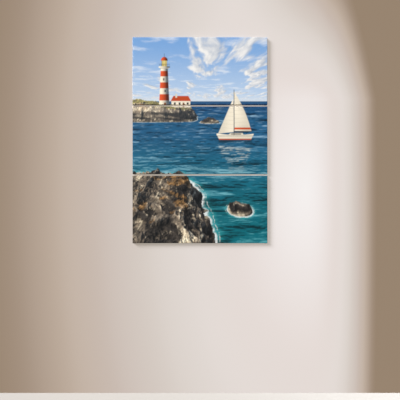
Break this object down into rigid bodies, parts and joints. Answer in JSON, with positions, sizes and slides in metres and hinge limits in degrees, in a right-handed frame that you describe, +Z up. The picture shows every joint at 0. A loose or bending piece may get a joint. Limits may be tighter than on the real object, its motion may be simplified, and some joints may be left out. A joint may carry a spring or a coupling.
{
  "type": "multi-panel canvas wall print",
  "caption": "Stretched canvas wall print in separate landscape panels hung one above another, each on a braced pine frame with sawtooth hangers and wall bumpers.",
  "frame": {"origin": "middle of the set in the plane of the wall that it hangs on", "axes": "+Z up, +X to the viewer's right, +Y into the wall; the printed fronts face -Y"},
  "size_m": [0.8128, 0.0214, 1.2412],
  "materials": {
    "printed_canvas": "satin printed cotton canvas, raw off-white on the back",
    "pine": "planed bare pine",
    "zinc_steel": "bright zinc plate",
    "bumper_rubber": "matt black rubber"
  },
  "bodies": {
    "root": {"top_canvas": "printed_canvas", "top_bar_upper": "pine", "top_bar_lower": "pine", "top_bar_left": "pine", "top_bar_right": "pine", "top_brace": "pine", "top_hanger_left": "zinc_steel", "top_hanger_right": "zinc_steel", "top_nail_1": "zinc_steel", "top_nail_2": "zinc_steel", "top_nail_3": "zinc_steel", "top_nail_4": "zinc_steel", "top_bumper_left": "bumper_rubber", "top_bumper_right": "bumper_rubber", "middle_canvas": "printed_canvas", "middle_bar_upper": "pine", "middle_bar_lower": "pine", "middle_bar_left": "pine", "middle_bar_right": "pine", "middle_brace": "pine", "middle_hanger_left": "zinc_steel", "middle_hanger_right": "zinc_steel", "middle_nail_1": "zinc_steel", "middle_nail_2": "zinc_steel", "middle_nail_3": "zinc_steel", "middle_nail_4": "zinc_steel", "middle_bumper_left": "bumper_rubber", "middle_bumper_right": "bumper_rubber", "bottom_canvas": "printed_canvas", "bottom_bar_upper": "pine", "bottom_bar_lower": "pine", "bottom_bar_left": "pine", "bottom_bar_right": "pine", "bottom_brace": "pine", "bottom_hanger_left": "zinc_steel", "bottom_hanger_right": "zinc_steel", "bottom_nail_1": "zinc_steel", "bottom_nail_2": "zinc_steel", "bottom_nail_3": "zinc_steel", "bottom_nail_4": "zinc_steel", "bottom_bumper_left": "bumper_rubber", "bottom_bumper_right": "bumper_rubber"}
  },
  "joints": []
}
